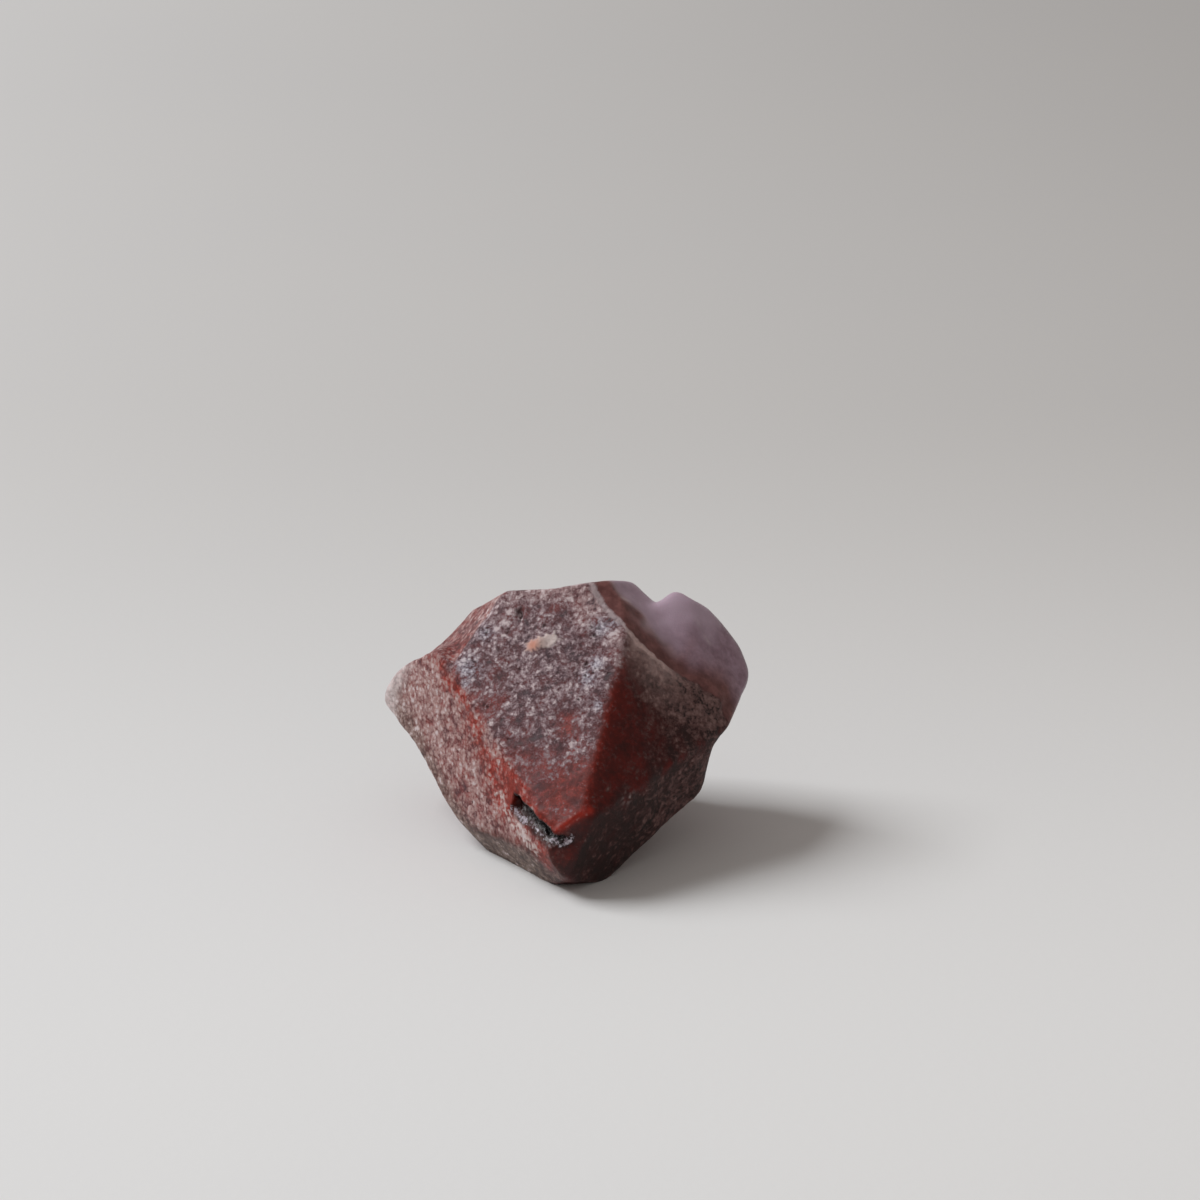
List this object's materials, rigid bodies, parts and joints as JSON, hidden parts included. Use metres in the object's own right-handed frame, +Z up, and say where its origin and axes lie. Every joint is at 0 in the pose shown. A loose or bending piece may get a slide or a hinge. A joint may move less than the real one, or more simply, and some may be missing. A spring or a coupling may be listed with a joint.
{
  "type": "quartz crystal point",
  "caption": "Loose natural quartz point, stout faceted tip with red iron and pale sugary crust over lilac quartz, broken root, lying on a worn edge.",
  "frame": {"origin": "centre of the bounding box at the height of the table that the stone rests on", "axes": "+Z up, +X to the right of the pointed end as seen from in front of it, -Y towards the pointed end"},
  "size_m": [0.0376, 0.032, 0.0267],
  "materials": {
    "quartz": "natural crystal faces with a frosted red and grey skin, milky lilac where broken"
  },
  "bodies": {
    "root": {"quartz_point": "quartz"}
  },
  "joints": []
}
